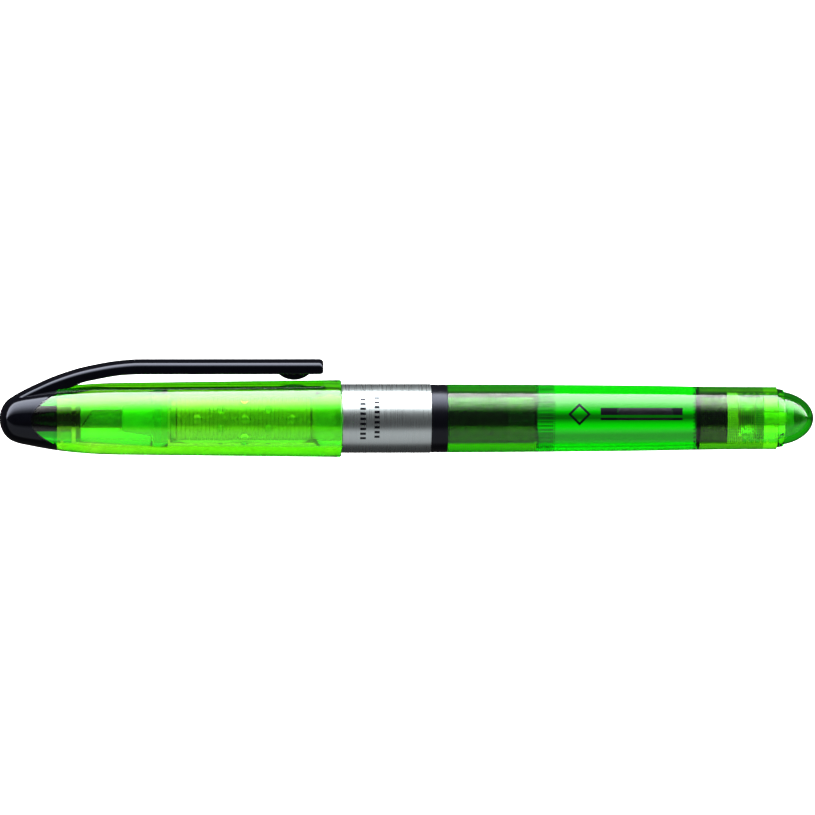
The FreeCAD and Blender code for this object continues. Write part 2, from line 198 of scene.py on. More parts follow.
def steps(start, end, size):
    """Evenly spaced values from start to end, about size apart."""
    count = max(1, round(abs(end - start) / size))
    return [start + (end - start) * i / count for i in range(count + 1)]


def hermite(x, start, end, start_slope, end_slope):
    """Height at x on the cubic between two points, each (x, height)."""
    span = end[0] - start[0]
    t = (x - start[0]) / span
    return ((2 * t ** 3 - 3 * t ** 2 + 1) * start[1] + (t ** 3 - 2 * t ** 2 + t) * span * start_slope
            + (3 * t ** 2 - 2 * t ** 3) * end[1] + (t ** 3 - t ** 2) * span * end_slope)


def slope_at(points, i):
    """Slope of a curve at its point i, from the points on both sides. It is level at its last point."""
    if i == len(points) - 1:
        return 0.0
    before, after = points[max(i - 1, 0)], points[i + 1]
    return (after[1] - before[1]) / (after[0] - before[0])


def smooth_line(points, x):
    """Height at x on a smooth curve through points, level before its first and past its last."""
    if x >= points[-1][0]:
        return points[-1][1]
    if x <= points[0][0]:
        return points[0][1]
    for i, (start, end) in enumerate(zip(points, points[1:])):
        if x <= end[0]:
            return hermite(x, start, end, slope_at(points, i), slope_at(points, i + 1))


# ---- materials ----
def link(tree, source, target):
    """Join two sockets."""
    tree.links.new(source, target)


def new_material(name):
    """A material with its node tree and its shader."""
    material = bpy.data.materials.new(name)
    material.use_nodes = True
    tree = material.node_tree
    return material, tree, tree.nodes["Principled BSDF"]


def noise(tree, scale, detail=3.0, stretch=(1, 1, 1)):
    """Noise over the object's own coordinates."""
    coords = tree.nodes.new("ShaderNodeTexCoord")
    mapping = tree.nodes.new("ShaderNodeMapping")
    mapping.inputs["Scale"].default_value = stretch
    link(tree, coords.outputs["Object"], mapping.inputs["Vector"])
    node = tree.nodes.new("ShaderNodeTexNoise")
    node.inputs["Scale"].default_value = scale
    node.inputs["Detail"].default_value = detail
    link(tree, mapping.outputs["Vector"], node.inputs["Vector"])
    return node.outputs["Fac"]


def spread(tree, fac, low_value, high_value):
    """The middle of a noise, from 0.3 to 0.7, spread between two values."""
    node = tree.nodes.new("ShaderNodeMapRange")
    node.inputs["From Min"].default_value = 0.3
    node.inputs["From Max"].default_value = 0.7
    node.inputs["To Min"].default_value = low_value
    node.inputs["To Max"].default_value = high_value
    link(tree, fac, node.inputs["Value"])
    return node.outputs["Result"]


def blend_colors(tree, fac, first, second):
    """A colour between first and second."""
    node = tree.nodes.new("ShaderNodeMixRGB")
    node.inputs["Color1"].default_value = (*first, 1)
    node.inputs["Color2"].default_value = (*second, 1)
    link(tree, fac, node.inputs["Fac"])
    return node.outputs["Color"]


def bump(tree, shader, fac, distance):
    """Fine relief of the given depth in metres."""
    node = tree.nodes.new("ShaderNodeBump")
    node.inputs["Distance"].default_value = distance
    link(tree, fac, node.inputs["Height"])
    link(tree, node.outputs["Normal"], shader.inputs["Normal"])


def clear_plastic(name, depth_tint, depth=0.0016, rough=(0.0, 0.02), ior=1.52, coat=0.3):
    """Clear plastic that lets depth_tint through over the given depth in metres."""
    material, tree, shader = new_material(name)
    shader.inputs["Base Color"].default_value = (1, 1, 1, 1)
    shader.inputs["Transmission Weight"].default_value = 1.0
    shader.inputs["Coat Weight"].default_value = coat
    shader.inputs["Coat Roughness"].default_value = 0.02
    shader.inputs["IOR"].default_value = ior
    link(tree, spread(tree, noise(tree, 700), *rough), shader.inputs["Roughness"])
    loss = [-math.log(max(t, 1e-4)) / depth for t in depth_tint]
    density = max(loss)
    inside = tree.nodes.new("ShaderNodeVolumeAbsorption")
    inside.inputs["Color"].default_value = (*[1 - v / density for v in loss], 1)
    inside.inputs["Density"].default_value = density
    link(tree, inside.outputs["Volume"], tree.nodes["Material Output"].inputs["Volume"])
    return material


def solid_plastic(name, tint, rough, grain=0.0, second=None, scale=700):
    """Opaque plastic or fibre, faintly mottled between tint and second."""
    material, tree, shader = new_material(name)
    fac = noise(tree, scale)
    second = second or [c * 0.85 for c in tint]
    link(tree, blend_colors(tree, spread(tree, fac, 0, 1), tint, second), shader.inputs["Base Color"])
    link(tree, spread(tree, fac, *rough), shader.inputs["Roughness"])
    if grain:
        bump(tree, shader, fac, grain)
    return material


def glossy_black(name, rough, ior=1.42):
    """Black plastic whose reflections are tinted slightly blue, a painted colour of the light."""
    material = solid_plastic(name, (0.0015, 0.0015, 0.003), rough, second=(0.001, 0.001, 0.002))
    shader = material.node_tree.nodes["Principled BSDF"]
    shader.inputs["IOR"].default_value = ior
    # painted light: the blue specular tint stands in for the colour of the light it reflects
    shader.inputs["Specular Tint"].default_value = (0.74, 0.8, 1.0, 1)
    return material


def satin_metal(name, tint, rough):
    """Silver finish with fine turning lines round the pen."""
    material, tree, shader = new_material(name)
    shader.inputs["Base Color"].default_value = (*tint, 1)
    shader.inputs["Metallic"].default_value = 1.0
    lines = noise(tree, 900, 2.0, (6, 0.2, 0.2))
    link(tree, spread(tree, lines, *rough), shader.inputs["Roughness"])
    bump(tree, shader, lines, 0.0000006)
    return material


clear_green = clear_plastic("clear_green", (0.45, 0.99, 0.10))
barrel_green = clear_plastic("barrel_green", (0.30, 0.97, 0.03), coat=0.05)
plug_green = clear_plastic("plug_green", (0.28, 0.96, 0.05), coat=0.1)
# painted shade: the dome is the plug's own plastic, given a darker tint where it looks dark
dome_painted_shade = clear_plastic("dome_painted_shade", (0.03, 0.5, 0.01), coat=0.0)
inner_clear = clear_plastic("inner_clear", (0.45, 0.985, 0.3), 0.0006, (0.03, 0.08), 1.38, 0.0)
ink_look = clear_plastic("ink_look", (0.02, 0.95, 0.005), 0.009, (0, 0.01), ior=0.91, coat=0.0)
black = glossy_black("black", (0.07, 0.1))
black_satin = glossy_black("black_satin", (0.22, 0.27))
printed = glossy_black("printed", (0.2, 0.25))
dot_look = solid_plastic("dot_look", (0.003, 0.009, 0.005), (0.15, 0.25))
black_inside = glossy_black("black_inside", (0.1, 0.15), 1.16)   # pressed on clear plastic, so dull
silver = satin_metal("silver", (0.665, 0.735, 0.75), (0.26, 0.32))
holder_look = solid_plastic("holder_look", (0.5, 0.98, 0.38), (0.2, 0.3))
comb_look = solid_plastic("comb_look", (0.98, 0.95, 0.33), (0.35, 0.5))
light = solid_plastic("light", (0.85, 0.95, 0.6), (0.4, 0.5))
lime = solid_plastic("lime", (0.8, 1.0, 0.25), (0.4, 0.5))
felt = solid_plastic("felt", (0.16, 0.30, 0.03), (0.8, 0.95), 0.0001, (0.30, 0.50, 0.06), 2600)
dark_clear = clear_plastic("dark_clear", (0.12, 0.35, 0.05), 0.002, (0.05, 0.1), coat=0.0)

KEPT = {
    "nib": felt, "nib_holder": holder_look, "front_seal": lime, "feed_wick": felt,
    "regulator_seal": light, "reservoir_seal": dark_clear, "stopper": black_inside,
    "stopper_seal": lime, "plug_disc": lime, "cap_seal": black_inside,
}
for node, look in KEPT.items():
    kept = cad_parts[node]
    kept.data.materials.clear()
    kept.data.materials.append(look)


# ---- cap ----
NUB_STATION = SLEEVE_FRONT - 1.98
STEM_CONTACT = 1.46        # the clear nose grips the seal's stem, so its bore is a hair inside the stem
CROWN_LENGTH = CROWN_END - NOSE
CAP_LENGTH = MOUTH - NOSE
NOSE_WIDTH = 9.607         # the nose is an ellipse: its radius squared is NOSE_WIDTH * x - NOSE_CURVE * x * x
NOSE_CURVE = 1.2586
# the cap's outer radius behind the nose, by distance from the nose, and its slope there
SHOULDER = [(2.63, 4.07), (5.3, 4.72), (10.1, 5.56), (15.4, 6.11), (21.0, 6.34)]
SHOULDER_SLOPES = [0.367, 0.2, 0.1376, 0.0716]


def cap_radius(x):
    """Radius of the cap's outer form at x, measured from the nose."""
    if x <= SHOULDER[0][0]:
        return math.sqrt(max(0.0, NOSE_WIDTH * x - NOSE_CURVE * x * x))
    last_x, last_r = SHOULDER[-1]
    slope = (MOUTH_RADIUS - last_r) / (CAP_LENGTH - last_x)
    if x >= last_x:
        return last_r + slope * (x - last_x)
    slopes = SHOULDER_SLOPES + [slope]
    for i, (start, end) in enumerate(zip(SHOULDER, SHOULDER[1:])):
        if x <= end[0]:
            return hermite(x, start, end, slopes[i], slopes[i + 1])


def form(start, end, size=0.35, grow=0.0):
    """Points along the cap's outer form between two places measured from the nose."""
    return [(NOSE + x, cap_radius(x) + grow) for x in steps(start, end, size)]


def make_cap_shell():
    """Clear tube with a rounded mouth and the shallow groove that snaps over the neck's nubs."""
    front = CROWN_END + 0.02
    fillet = 0.35
    spigot_bore = 4.38
    spigot_rear = 2.6
    groove_depth = 0.12
    groove = NUB_STATION
    outline = form(CROWN_LENGTH + 0.02, CAP_LENGTH - fillet)
    for k in range(1, 5):
        turn = math.radians(22.5 * k)
        x = MOUTH - fillet + fillet * math.sin(turn)
        outline.append((x, MOUTH_RADIUS - fillet + fillet * math.cos(turn)))
    outline += [
        (MOUTH, CAP_BORE + 0.2), (MOUTH - 0.2, CAP_BORE), (groove + 1.5, CAP_BORE),
        (groove + 0.5, CAP_BORE + groove_depth), (groove - 0.5, CAP_BORE + groove_depth),
        (groove - 1.5, CAP_BORE),
    ]
    outline += [(x, CAP_BORE) for x in steps(groove - 2, front + 6.2, 2.0)]
    outline += [(front + spigot_rear, spigot_bore), (front, spigot_bore)]
    return turned("cap_shell_clear", outline, "cap", clear_green, ["cap_shell"], 192)


def make_nose_insert():
    """Clear nose, flush in the crown's openings, with the stem's bore and a groove round its spigot."""
    seam = 0.04
    bore_front = 2.6
    spigot = 4.35
    groove = 3.9
    groove_front = CROWN_END + 0.75
    groove_rear = CROWN_END + 1.2
    outline = [(NOSE + bore_front, STEM_CONTACT)] + form(bore_front, CROWN_LENGTH, 0.3, -seam)
    outline += [
        (CROWN_END, spigot), (groove_front, spigot), (groove_front, groove), (groove_rear, groove),
        (groove_rear, spigot), (SPIGOT_END, spigot), (SPIGOT_END, STEM_CONTACT),
    ]
    return turned("nose_insert_clear", eased(outline, 0.06), "cap", clear_green,
                  ["nose_insert"], 192)


def make_inner_cap():
    """Tapered tube that widens to a collar round the section's front."""
    front, mouth = INNER_CAP_FRONT, INNER_CAP_MOUTH
    collar = low("front_seal") - 1.76
    narrow, wide = 4.13, 4.85
    front_bore, bore, collar_bore = 3.84, 3.55, GRIP_RADIUS + 0.13
    recess = SEAL_END + 0.05
    outline = [(front, front_bore), (front, narrow)] + [
        (x, narrow + (wide - narrow) * (x - front) / (collar - front)) for x in steps(front + 1, collar, 1.5)
    ]
    outline += [
        (collar + 0.8, CAP_BORE - FIT), (mouth, CAP_BORE - FIT), (mouth, collar_bore),
        (collar + 0.3, collar_bore), (collar, 4.15), (recess, bore), (recess, front_bore),
    ]
    return turned("inner_cap_clear", eased(outline, 0.1), "cap", inner_clear,
                  ["inner_cap"], 160)


# ---- crown and clip: one moulding, made as one rigid skin ----
CLIP_TOP = high("clip_arm", 2)
CLIP_UNDER = 7.93
CLIP_HALF = high("clip_arm", 1)
CLIP_TIP = high("clip_arm")
# height of the clip over the axis, by distance from the nose: its top, then its underside
TOP_LINE = [
    (0.8, 2.4), (1.6, 3.35), (2.6, 4.15), (4.2, 5.05), (5.8, 5.84), (9.1, 7.32), (13.3, 8.76), (17.6, 9.74),
    (21.1, 10.27), (24.6, CLIP_TOP),
]
UNDER_LINE = [
    (0.8, 0.4), (3.0, 1.6), (6.0, 3.0), (9.0, 3.9), (11.7, 5.2), (14.4, 6.42), (16.6, 6.95), (21.0, 7.72),
    (26.0, CLIP_UNDER),
]
WINDOW_FRONT = 5.6         # from the nose to the front of each opening in the crown
WINDOW_STEEPNESS = 0.19    # how fast the opening's edge runs back with height
CROWN_WALL = 1.0


def crown_edge(turn):
    """Where the crown ends, from the nose, at turn round the pen (0 is +Y, a quarter is the clip)."""
    x = WINDOW_FRONT
    for _ in range(30):
        z = cap_radius(x) * math.sin(turn)
        x = 0.5 * x + 0.5 * min(CROWN_LENGTH, WINDOW_FRONT + WINDOW_STEEPNESS * z * z)
    return x


def crown_column(turn):
    """Points (x, radius) back along the outer skin, round the rim, and forward along the inner skin."""
    along, within = 44, 8
    edge = crown_edge(turn)
    column = []
    for i in range(1, along + 1):
        x = edge * (i / along) ** 1.6
        column.append((x, cap_radius(x)))
    rim_x, rim_r = column[-1]
    column[-1] = (rim_x - 0.06, rim_r - 0.004)
    column += [(rim_x - 0.018, rim_r - 0.022), (rim_x, rim_r - 0.07), (rim_x, rim_r - CROWN_WALL)]
    for i in range(within, 0, -1):
        x = max(edge * (i / (within + 1)), CROWN_WALL)
        column.append((x, max(cap_radius(x) - CROWN_WALL, 0.05) * (1 if i > 1 else 0.4)))
    return column


def crown_mesh():
    """Thin dome whose rim follows the arched openings."""
    around = 240
    verts, faces = [], []
    for k in range(around):
        turn = 2 * math.pi * k / around
        verts += [(NOSE + x, r * math.cos(turn), r * math.sin(turn)) for x, r in crown_column(turn)]
    rows = len(verts) // around
    tip, inside = len(verts), len(verts) + 1
    verts += [(NOSE, 0, 0), (NOSE + CROWN_WALL, 0, 0)]
    for k in range(around):
        n = (k + 1) % around
        for i in range(rows - 1):
            faces.append((k * rows + i, n * rows + i, n * rows + i + 1, k * rows + i + 1))
    for k in range(around):
        n = (k + 1) % around
        faces.append((tip, n * rows, k * rows))
        faces.append((inside, k * rows + rows - 1, n * rows + rows - 1))
    return verts, faces


def arc(y, z, radius, turns):
    """Points of a circle at the given turns from +Y."""
    return [(y + radius * math.cos(turn), z + radius * math.sin(turn)) for turn in turns]


def clip_outline(top, under, half):
    """Half a clip section, from ridge to middle of the underside, and where its flat side starts."""
    shoulder, heel = 0.85, 0.28
    shoulder_turn = math.radians(45)
    knee = half - shoulder * (1 - math.cos(shoulder_turn))
    crown = knee / math.cos(shoulder_turn)
    rise = shoulder * math.sin(shoulder_turn) + crown * (1 - math.sin(shoulder_turn))
    side_top = top - rise
    over = [shoulder_turn + (math.pi / 2 - shoulder_turn) * (1 - k / 6) for k in range(7)]
    points = arc(0, top - crown, crown, over)
    points += arc(half - shoulder, side_top, shoulder, [shoulder_turn * (1 - k / 8) for k in range(1, 9)])
    points += [(half, side_top - (side_top - under - heel) * k / 3) for k in (1, 2, 3)]
    points += arc(half - heel, under + heel, heel, [-math.pi / 2 * k / 4 for k in range(1, 5)])
    points += [((half - heel) * (1 - k / 4), under) for k in (1, 2, 3, 4)]
    return points, side_top


def clip_section(x, shrink=0.0):
    """Closed section of the clip at x from the nose. Behind the crown it stays clear of the cap."""
    top = smooth_line(TOP_LINE, x) - shrink
    under = smooth_line(UNDER_LINE, x) + 0.8 * shrink
    points, side_top = clip_outline(top, under, CLIP_HALF - 0.9 * shrink)
    saddle = cap_radius(x) + 0.1
    section = []
    for y, z in points:
        if x > CROWN_LENGTH and z < saddle and y * y + z * z < saddle * saddle and z < side_top:
            z = math.sqrt(saddle * saddle - y * y)
        section.append((y, z))
    mirror = [(-y, z) for y, z in section[1:-1]]
    return section + mirror[::-1]


def clip_mesh():
    """The clip as one skin from inside the crown to its rounded tip."""
    tip = CLIP_TIP - NOSE
    round_off = 0.75
    places = steps(0.9, 24.0, 0.3) + steps(25.0, tip - round_off, 1.0)
    loops = [(x, clip_section(x)) for x in places]
    for k in range(1, 9):
        turn = math.pi / 2 * k / 8
        x = tip - round_off + round_off * math.sin(turn)
        loops.append((x, clip_section(x, 0.72 * round_off * (1 - math.cos(turn)))))
    verts, faces = [], []
    size = len(loops[0][1])
    for x, section in loops:
        verts += [(NOSE + x, y, z) for y, z in section]
    for i in range(len(loops) - 1):
        for k in range(size):
            n = (k + 1) % size
            faces.append((i * size + k, i * size + n, (i + 1) * size + n, (i + 1) * size + k))
    faces.append(tuple(range(size)))
    last = (len(loops) - 1) * size
    faces.append(tuple(last + k for k in range(size))[::-1])
    return verts, faces


def pip_mesh():
    """Rounded pad under the clip: a shallow dome stretched across the clip."""
    centre, ball, lowest = CLIP_TIP - 5.17, 4.1, MOUTH_RADIUS + 0.12
    half_x, half_y = 2.75, CLIP_HALF - 0.25
    across, along = 12, 28
    verts, faces = [], []
    for j in range(across + 1):
        v = 2 * j / across - 1
        y = half_y * math.sin(v * math.pi / 2)
        pull = 0.35 * (1 - math.sqrt(max(0.0, 1 - v ** 6)))
        for i in range(along + 1):
            dx = half_x * (2 * i / along - 1)
            z = lowest + pull + ball - math.sqrt(ball * ball - dx * dx)
            verts.append((centre + dx, y, min(z, CLIP_UNDER + 0.2)))
    base = len(verts)
    verts += [(x, y, CLIP_UNDER + 0.4) for x, y, _ in verts]
    row = along + 1
    for j in range(across):
        for i in range(along):
            a = j * row + i
            faces.append((a, a + 1, a + row + 1, a + row))
            faces.append((base + a, base + a + row, base + a + row + 1, base + a + 1))
    border = list(range(row)) + [j * row + along for j in range(1, across + 1)]
    border += [across * row + i for i in range(along - 1, -1, -1)]
    border += [j * row for j in range(across - 1, 0, -1)]
    for a, b in zip(border, border[1:] + border[:1]):
        faces.append((a, b, base + b, base + a))
    return verts, faces


def united(target, others):
    """Join closed meshes into one skin."""
    for other in others:
        modifier = target.modifiers.new("join", "BOOLEAN")
        modifier.operation = "UNION"
        modifier.solver = "EXACT"
        modifier.object = other
        bpy.context.view_layer.objects.active = target
        with bpy.context.temp_override(object=target, active_object=target):
            bpy.ops.object.modifier_apply(modifier=modifier.name)
        bpy.data.objects.remove(other)
    target.data.set_sharp_from_angle(angle=math.radians(35))


def black_part(name, verts, faces):
    """A closed black mesh, smooth and facing out."""
    part = bare_object(name, verts, faces, black)
    facing_out(part)
    part.data.shade_smooth()
    return part


def make_crown_and_clip():
    """One moulding: the crown's dome, the clip and the pad under it, joined as one skin."""
    piece = black_part("crown_and_clip", *crown_mesh())
    united(piece, [black_part("clip_part", *clip_mesh()), black_part("pip_part", *pip_mesh())])
    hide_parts("crown", "clip_arm")
    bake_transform(piece)
    return piece


# ---- pen front ----
NECK_FRONT = SLEEVE_FRONT - 4.88
NUB_COUNT = 4              # nubs round the neck that snap into the cap's groove
FIRST_NUB = math.radians(208)
NUB_TURNS = [FIRST_NUB + 2 * math.pi * k / NUB_COUNT for k in range(NUB_COUNT)]
NUB_REACH = 1.15
NUB_HEIGHT = 0.17
BUMP_CENTRE = SECTION_FRONT + 13.02
BUMP_PITCH = 4.15
BUMP_TURN = math.radians(21.7)             # half the turn between neighbours in a row
BUMP_RADIUS = 0.66
BUMP_HEIGHT = 0.4
BUMP_ROWS = range(-2, 3)
PANELS = 3
FIRST_PANEL = math.radians(176)


def bump_places():
    """(x, turn) of each grip bump: three diamonds of nine."""
    places = []
    for panel in range(PANELS):
        middle = FIRST_PANEL + panel * 2 * math.pi / PANELS
        for row in BUMP_ROWS:
            across = 3 - abs(row)
            for place in range(across):
                turn = middle + BUMP_TURN * (2 * place - across + 1)
                places.append((BUMP_CENTRE + row * BUMP_PITCH, turn))
    return places


BUMPS = bump_places()


def turn_apart(a, b):
    """The short way round from turn b to turn a."""
    return (a - b + math.pi) % (2 * math.pi) - math.pi


def bump_height(x, turn):
    """Height of the grip's rounded bumps."""
    height = 0.0
    for place, middle in BUMPS:
        if abs(x - place) < BUMP_RADIUS:
            gap = math.hypot(x - place, GRIP_RADIUS * turn_apart(turn, middle)) / BUMP_RADIUS
            if gap < 1:
                height = max(height, BUMP_HEIGHT * (1 - gap * gap) ** 0.8)
    return height


def nub_height(x, turn, r):
    """Height of the neck's pointed nubs."""
    height = 0.0
    for middle in NUB_TURNS:
        gap = (abs(x - NUB_STATION) + r * abs(turn_apart(turn, middle))) / NUB_REACH
        if gap < 1:
            height = max(height, NUB_HEIGHT * (1 - gap))
    return height


def section_relief(x, turn, r):
    """Raised bumps on the grip and nubs on the neck. The bore and the front face stay plain."""
    if r < GRIP_RADIUS - 0.05:
        return 0.0
    if x < NECK_FRONT:
        return bump_height(x, turn)
    return nub_height(x, turn, r)


def make_section():
    """Clear front section: grip, neck and tail, with closely spaced stations where there is relief."""
    neck = CAP_BORE - 0.25
    tail = SECTION_TAIL
    grip_margin = 2 * BUMP_PITCH + 1.8
    outline = [(SECTION_FRONT, SECTION_BORE), (SECTION_FRONT, 4.1), (SECTION_FRONT + 0.2, GRIP_RADIUS)]
    outline += [(BUMP_CENTRE - grip_margin, GRIP_RADIUS)]
    for row in BUMP_ROWS:
        middle = BUMP_CENTRE + row * BUMP_PITCH
        outline += [(x, GRIP_RADIUS) for x in steps(middle - 0.7, middle + 0.7, 0.1)]
    outline += [(BUMP_CENTRE + grip_margin, GRIP_RADIUS), (NECK_FRONT, GRIP_RADIUS), (NECK_FRONT + 0.5, neck)]
    outline += [(x, neck) for x in steps(NUB_STATION - 1.3, NUB_STATION + 1.3, 0.1)]
    outline += [(SLEEVE_FRONT, neck), (SLEEVE_FRONT, tail), (SLEEVE_REAR, tail), (SLEEVE_REAR, SECTION_BORE)]
    return turned("section_clear", outline, "pen", clear_green, ["section"], 264,
                  section_relief, 50)


def make_regulator():
    """Comb of thin discs on a core, with narrow gaps between them."""
    front, rear = low("ink_regulator"), high("ink_regulator")
    fin, core, pitch, gap = outer("ink_regulator"), 3.1, 0.72, 0.12
    count = round((rear - front) / pitch)
    pitch = (rear - front) / count
    outline = [(front, 0)]
    for i in range(count):
        x = front + i * pitch
        outline += [(x, core), (x, fin), (x + pitch - gap, fin), (x + pitch - gap, core)]
    outline += [(rear, core), (rear, 0)]
    return turned("regulator_comb", outline, "pen", comb_look, ["ink_regulator"], 96)


def make_sleeve():
    """Thin silver band."""
    bore = SECTION_TAIL + FIT
    outline = [
        (SLEEVE_FRONT, bore), (SLEEVE_FRONT, SLEEVE_RADIUS),
        (SLEEVE_REAR, SLEEVE_RADIUS), (SLEEVE_REAR, bore),
    ]
    return turned("sleeve_band", eased(outline, 0.12), "pen", silver, ["sleeve"], 192)


def make_coupling():
    """Black ring between sleeve and barrel with a spigot each way."""
    bore, front, rear = 1.9, low("coupling"), high("coupling")
    outline = [
        (front, bore), (front, 3.1), (front + 0.6, SECTION_BORE - FIT), (SLEEVE_REAR, SECTION_BORE - FIT),
        (SLEEVE_REAR, RING_RADIUS), (BARREL_FRONT, RING_RADIUS), (BARREL_FRONT, BARREL_BORE - FIT),
        (rear, BARREL_BORE - FIT), (rear, bore),
    ]
    return turned("coupling_ring", eased(outline, 0.1), "pen", black_satin,
                  ["coupling"], 192)


# ---- pen rear ----
# how far the barrel's radius has shrunk at each share of its length
BARREL_TAPER = [(0, 0.0), (0.31, -0.10), (0.61, -0.26), (0.77, -0.42), (1.0, -0.51)]


def barrel_radius(x):
    """Outer radius of the barrel: nearly straight, then slowly slimmer."""
    share = (x - BARREL_FRONT) / (BARREL_REAR - BARREL_FRONT)
    return BARREL_RADIUS + smooth_line(BARREL_TAPER, share)


def make_barrel():
    """Clear barrel. The ink wets its bore, so the two share one surface there, which the ink's mesh makes."""
    skin = [(x, barrel_radius(x)) for x in steps(BARREL_FRONT, BARREL_REAR, 1.2)]
    wet_front, wet_rear = INK_FRONT - 0.05, INK_REAR + 0.9
    outline = [(wet_rear, 0)]
    outline += [(wet_rear, BARREL_BORE), (BARREL_REAR, BARREL_BORE)]
    outline += skin[::-1]
    outline += [(BARREL_FRONT, BARREL_BORE), (wet_front, BARREL_BORE), (wet_front, 0)]
    return turned("barrel_clear", outline, "pen", barrel_green, ["barrel"], 192)


def make_ink():
    """Ink that fills the barrel's bore between the reservoir seal and the stopper's rounded nose."""
    bore = BARREL_BORE
    front, rear = INK_FRONT, INK_REAR + 0.8
    outline = [(front, 0), (front, bore - 0.3), (front + 0.3, bore)]
    outline += [(x, bore) for x in steps(front + 2, rear - 2, 2.0)]
    outline += [(rear - 0.6, bore), (rear, bore - 0.7), (rear, 0)]
    return turned("ink_fill", outline, "pen", ink_look, ["ink"], 192)


DOME_FRONT = BARREL_REAR + 1.3
DOME_BASE = 4.65
DOME_WALL = 0.9
DOME_AXIS = (TIP - DOME_FRONT) * 1.32      # half length of the ellipse that the dome is a part of
PLUG_GROOVES = 4
PLUG_PITCH = 1.15


def dome_meridian(base, length, tip):
    """Part of an ellipse from its tip on the axis to radius base at the dome's front."""
    start = math.acos((DOME_FRONT - (tip - length)) / length)
    short = base / math.sin(start)
    turns = [start * (1 - i / 24) for i in range(25)]
    return [(tip - length + length * math.cos(turn), short * math.sin(turn)) for turn in turns]


def make_end_dome():
    """Hollow dome of the rear plug, tinted darker than the rest of the same plug as painted shade."""
    outside = dome_meridian(DOME_BASE, DOME_AXIS, TIP)
    inside = dome_meridian(DOME_BASE - DOME_WALL, DOME_AXIS - DOME_WALL, TIP - DOME_WALL)
    dome = outside[::-1] + inside
    dome[0], dome[-1] = (TIP, 0), (TIP - DOME_WALL, 0)
    return turned("end_dome_clear", dome, "pen", dome_painted_shade,
                  ["end_plug"], 160, None, 30)


def make_end_plug():
    """Flange behind the barrel and the grooved spigot inside it."""
    flange_front = BARREL_REAR + 0.02
    dome_seam = DOME_FRONT - 0.02
    bore = DOME_BASE - DOME_WALL
    spigot, groove = BARREL_BORE - FIT, 4.1
    spigot_front = low("end_plug")
    outline = [
        (dome_seam, bore), (dome_seam, 4.9), (DOME_FRONT - 0.2, 5.03), (BARREL_REAR + 0.1, 5.2),
        (flange_front, 5.1), (flange_front, spigot),
    ]
    for index in range(PLUG_GROOVES - 1, -1, -1):
        x = spigot_front + 0.6 + index * PLUG_PITCH
        outline += [(x + 0.5, spigot), (x + 0.5, groove), (x, groove), (x, spigot)]
    outline += [(spigot_front, spigot), (spigot_front, bore)]
    return turned("end_plug_clear", outline, "pen", plug_green,
                  ["end_plug"], 160, None, 30)


# ---- printing on the outside: open patches a hair above the surface ----
PRINT_LIFT = 0.012
DOT_SIZE = 0.74            # width of a dot as a share of the pitch
DOT_PITCH = 0.34
MARK_TURN = math.radians(12)               # the barrel's marks sit a little above the middle of the front
LOZENGE = BARREL_FRONT + 22.95
STRIPES = (BARREL_FRONT + 26.65, BARREL_FRONT + 41.05)
DASH_TURN = math.radians(8)
# columns of dashes on the sleeve: front end, rear end, and height of the lowest dash
DASH_COLUMNS = (
    (SLEEVE_FRONT + 3.12, SLEEVE_FRONT + 4.12, -4.2),
    (SLEEVE_FRONT + 5.62, SLEEVE_FRONT + 6.52, -3.9),
)
DASHES = 9
DASH_PITCH = 0.9


def around_pen(x, s, radius, facing):
    """A point of a flat drawing wrapped on the pen: s runs up from the direction facing (0 is -Y)."""
    turn = facing + s / radius
    return (x, -(radius + PRINT_LIFT) * math.cos(turn), (radius + PRINT_LIFT) * math.sin(turn))


def wrapped(name, shapes, radius_at, facing, look=printed):
    """Flat shapes, each a list of (x, s) corners, as one printed piece on the pen."""
    verts, faces = [], []
    for shape in shapes:
        faces.append([len(verts) + i for i in range(len(shape))])
        verts += [around_pen(x, s, radius_at(x), facing) for x, s in shape]
    return new_piece(name, verts, faces, "pen", look)


def bar(x0, x1, s0, s1, pieces):
    """A rectangle cut across its height so it follows the curve."""
    edges = [s0 + (s1 - s0) * i / pieces for i in range(pieces + 1)]
    return [[(x0, a), (x1, a), (x1, b), (x0, b)] for a, b in zip(edges, edges[1:])]


def make_halftone(name, start, end):
    """A band of small diamonds on the barrel in a square grid."""
    around = round(2 * math.pi * BARREL_RADIUS / DOT_PITCH)
    rows = round((end - start) / DOT_PITCH)
    pitch = (end - start) / rows
    shapes = []
    for row in range(rows):
        x = start + (row + 0.5) * pitch
        step = 2 * math.pi * barrel_radius(x) / around
        a, b = DOT_SIZE * pitch / 2, DOT_SIZE * step / 2
        for k in range(around):
            s = k * step
            shapes.append([(x - a, s), (x, s - b), (x + a, s), (x, s + b)])
    wrapped(name, shapes, barrel_radius, 0.0, look=dot_look)


def lozenge(centre, reach, line):
    """Outline of a lozenge as short pieces of line."""
    count = 10
    shapes = []
    corners = [(reach, 0), (0, reach), (-reach, 0), (0, -reach)]
    for (x0, s0), (x1, s1) in zip(corners, corners[1:] + corners[:1]):
        for i in range(count):
            a, b = i / count, (i + 1) / count
            quad = []
            for t, inner in ((a, 0), (b, 0), (b, 1), (a, 1)):
                scale = 1 - inner * line * 1.41 / reach
                quad.append((centre + (x0 + (x1 - x0) * t) * scale, (s0 + (s1 - s0) * t) * scale))
            shapes.append(quad)
    return shapes


def make_barrel_marks():
    """A plain lozenge outline and a pair of stripes."""
    shapes = lozenge(LOZENGE, 2.0, 0.42)
    shapes += bar(*STRIPES, -0.15, 1.15, 8)
    shapes += bar(*STRIPES, -1.05, -0.6, 3)
    wrapped("barrel_marks", shapes, barrel_radius, MARK_TURN)


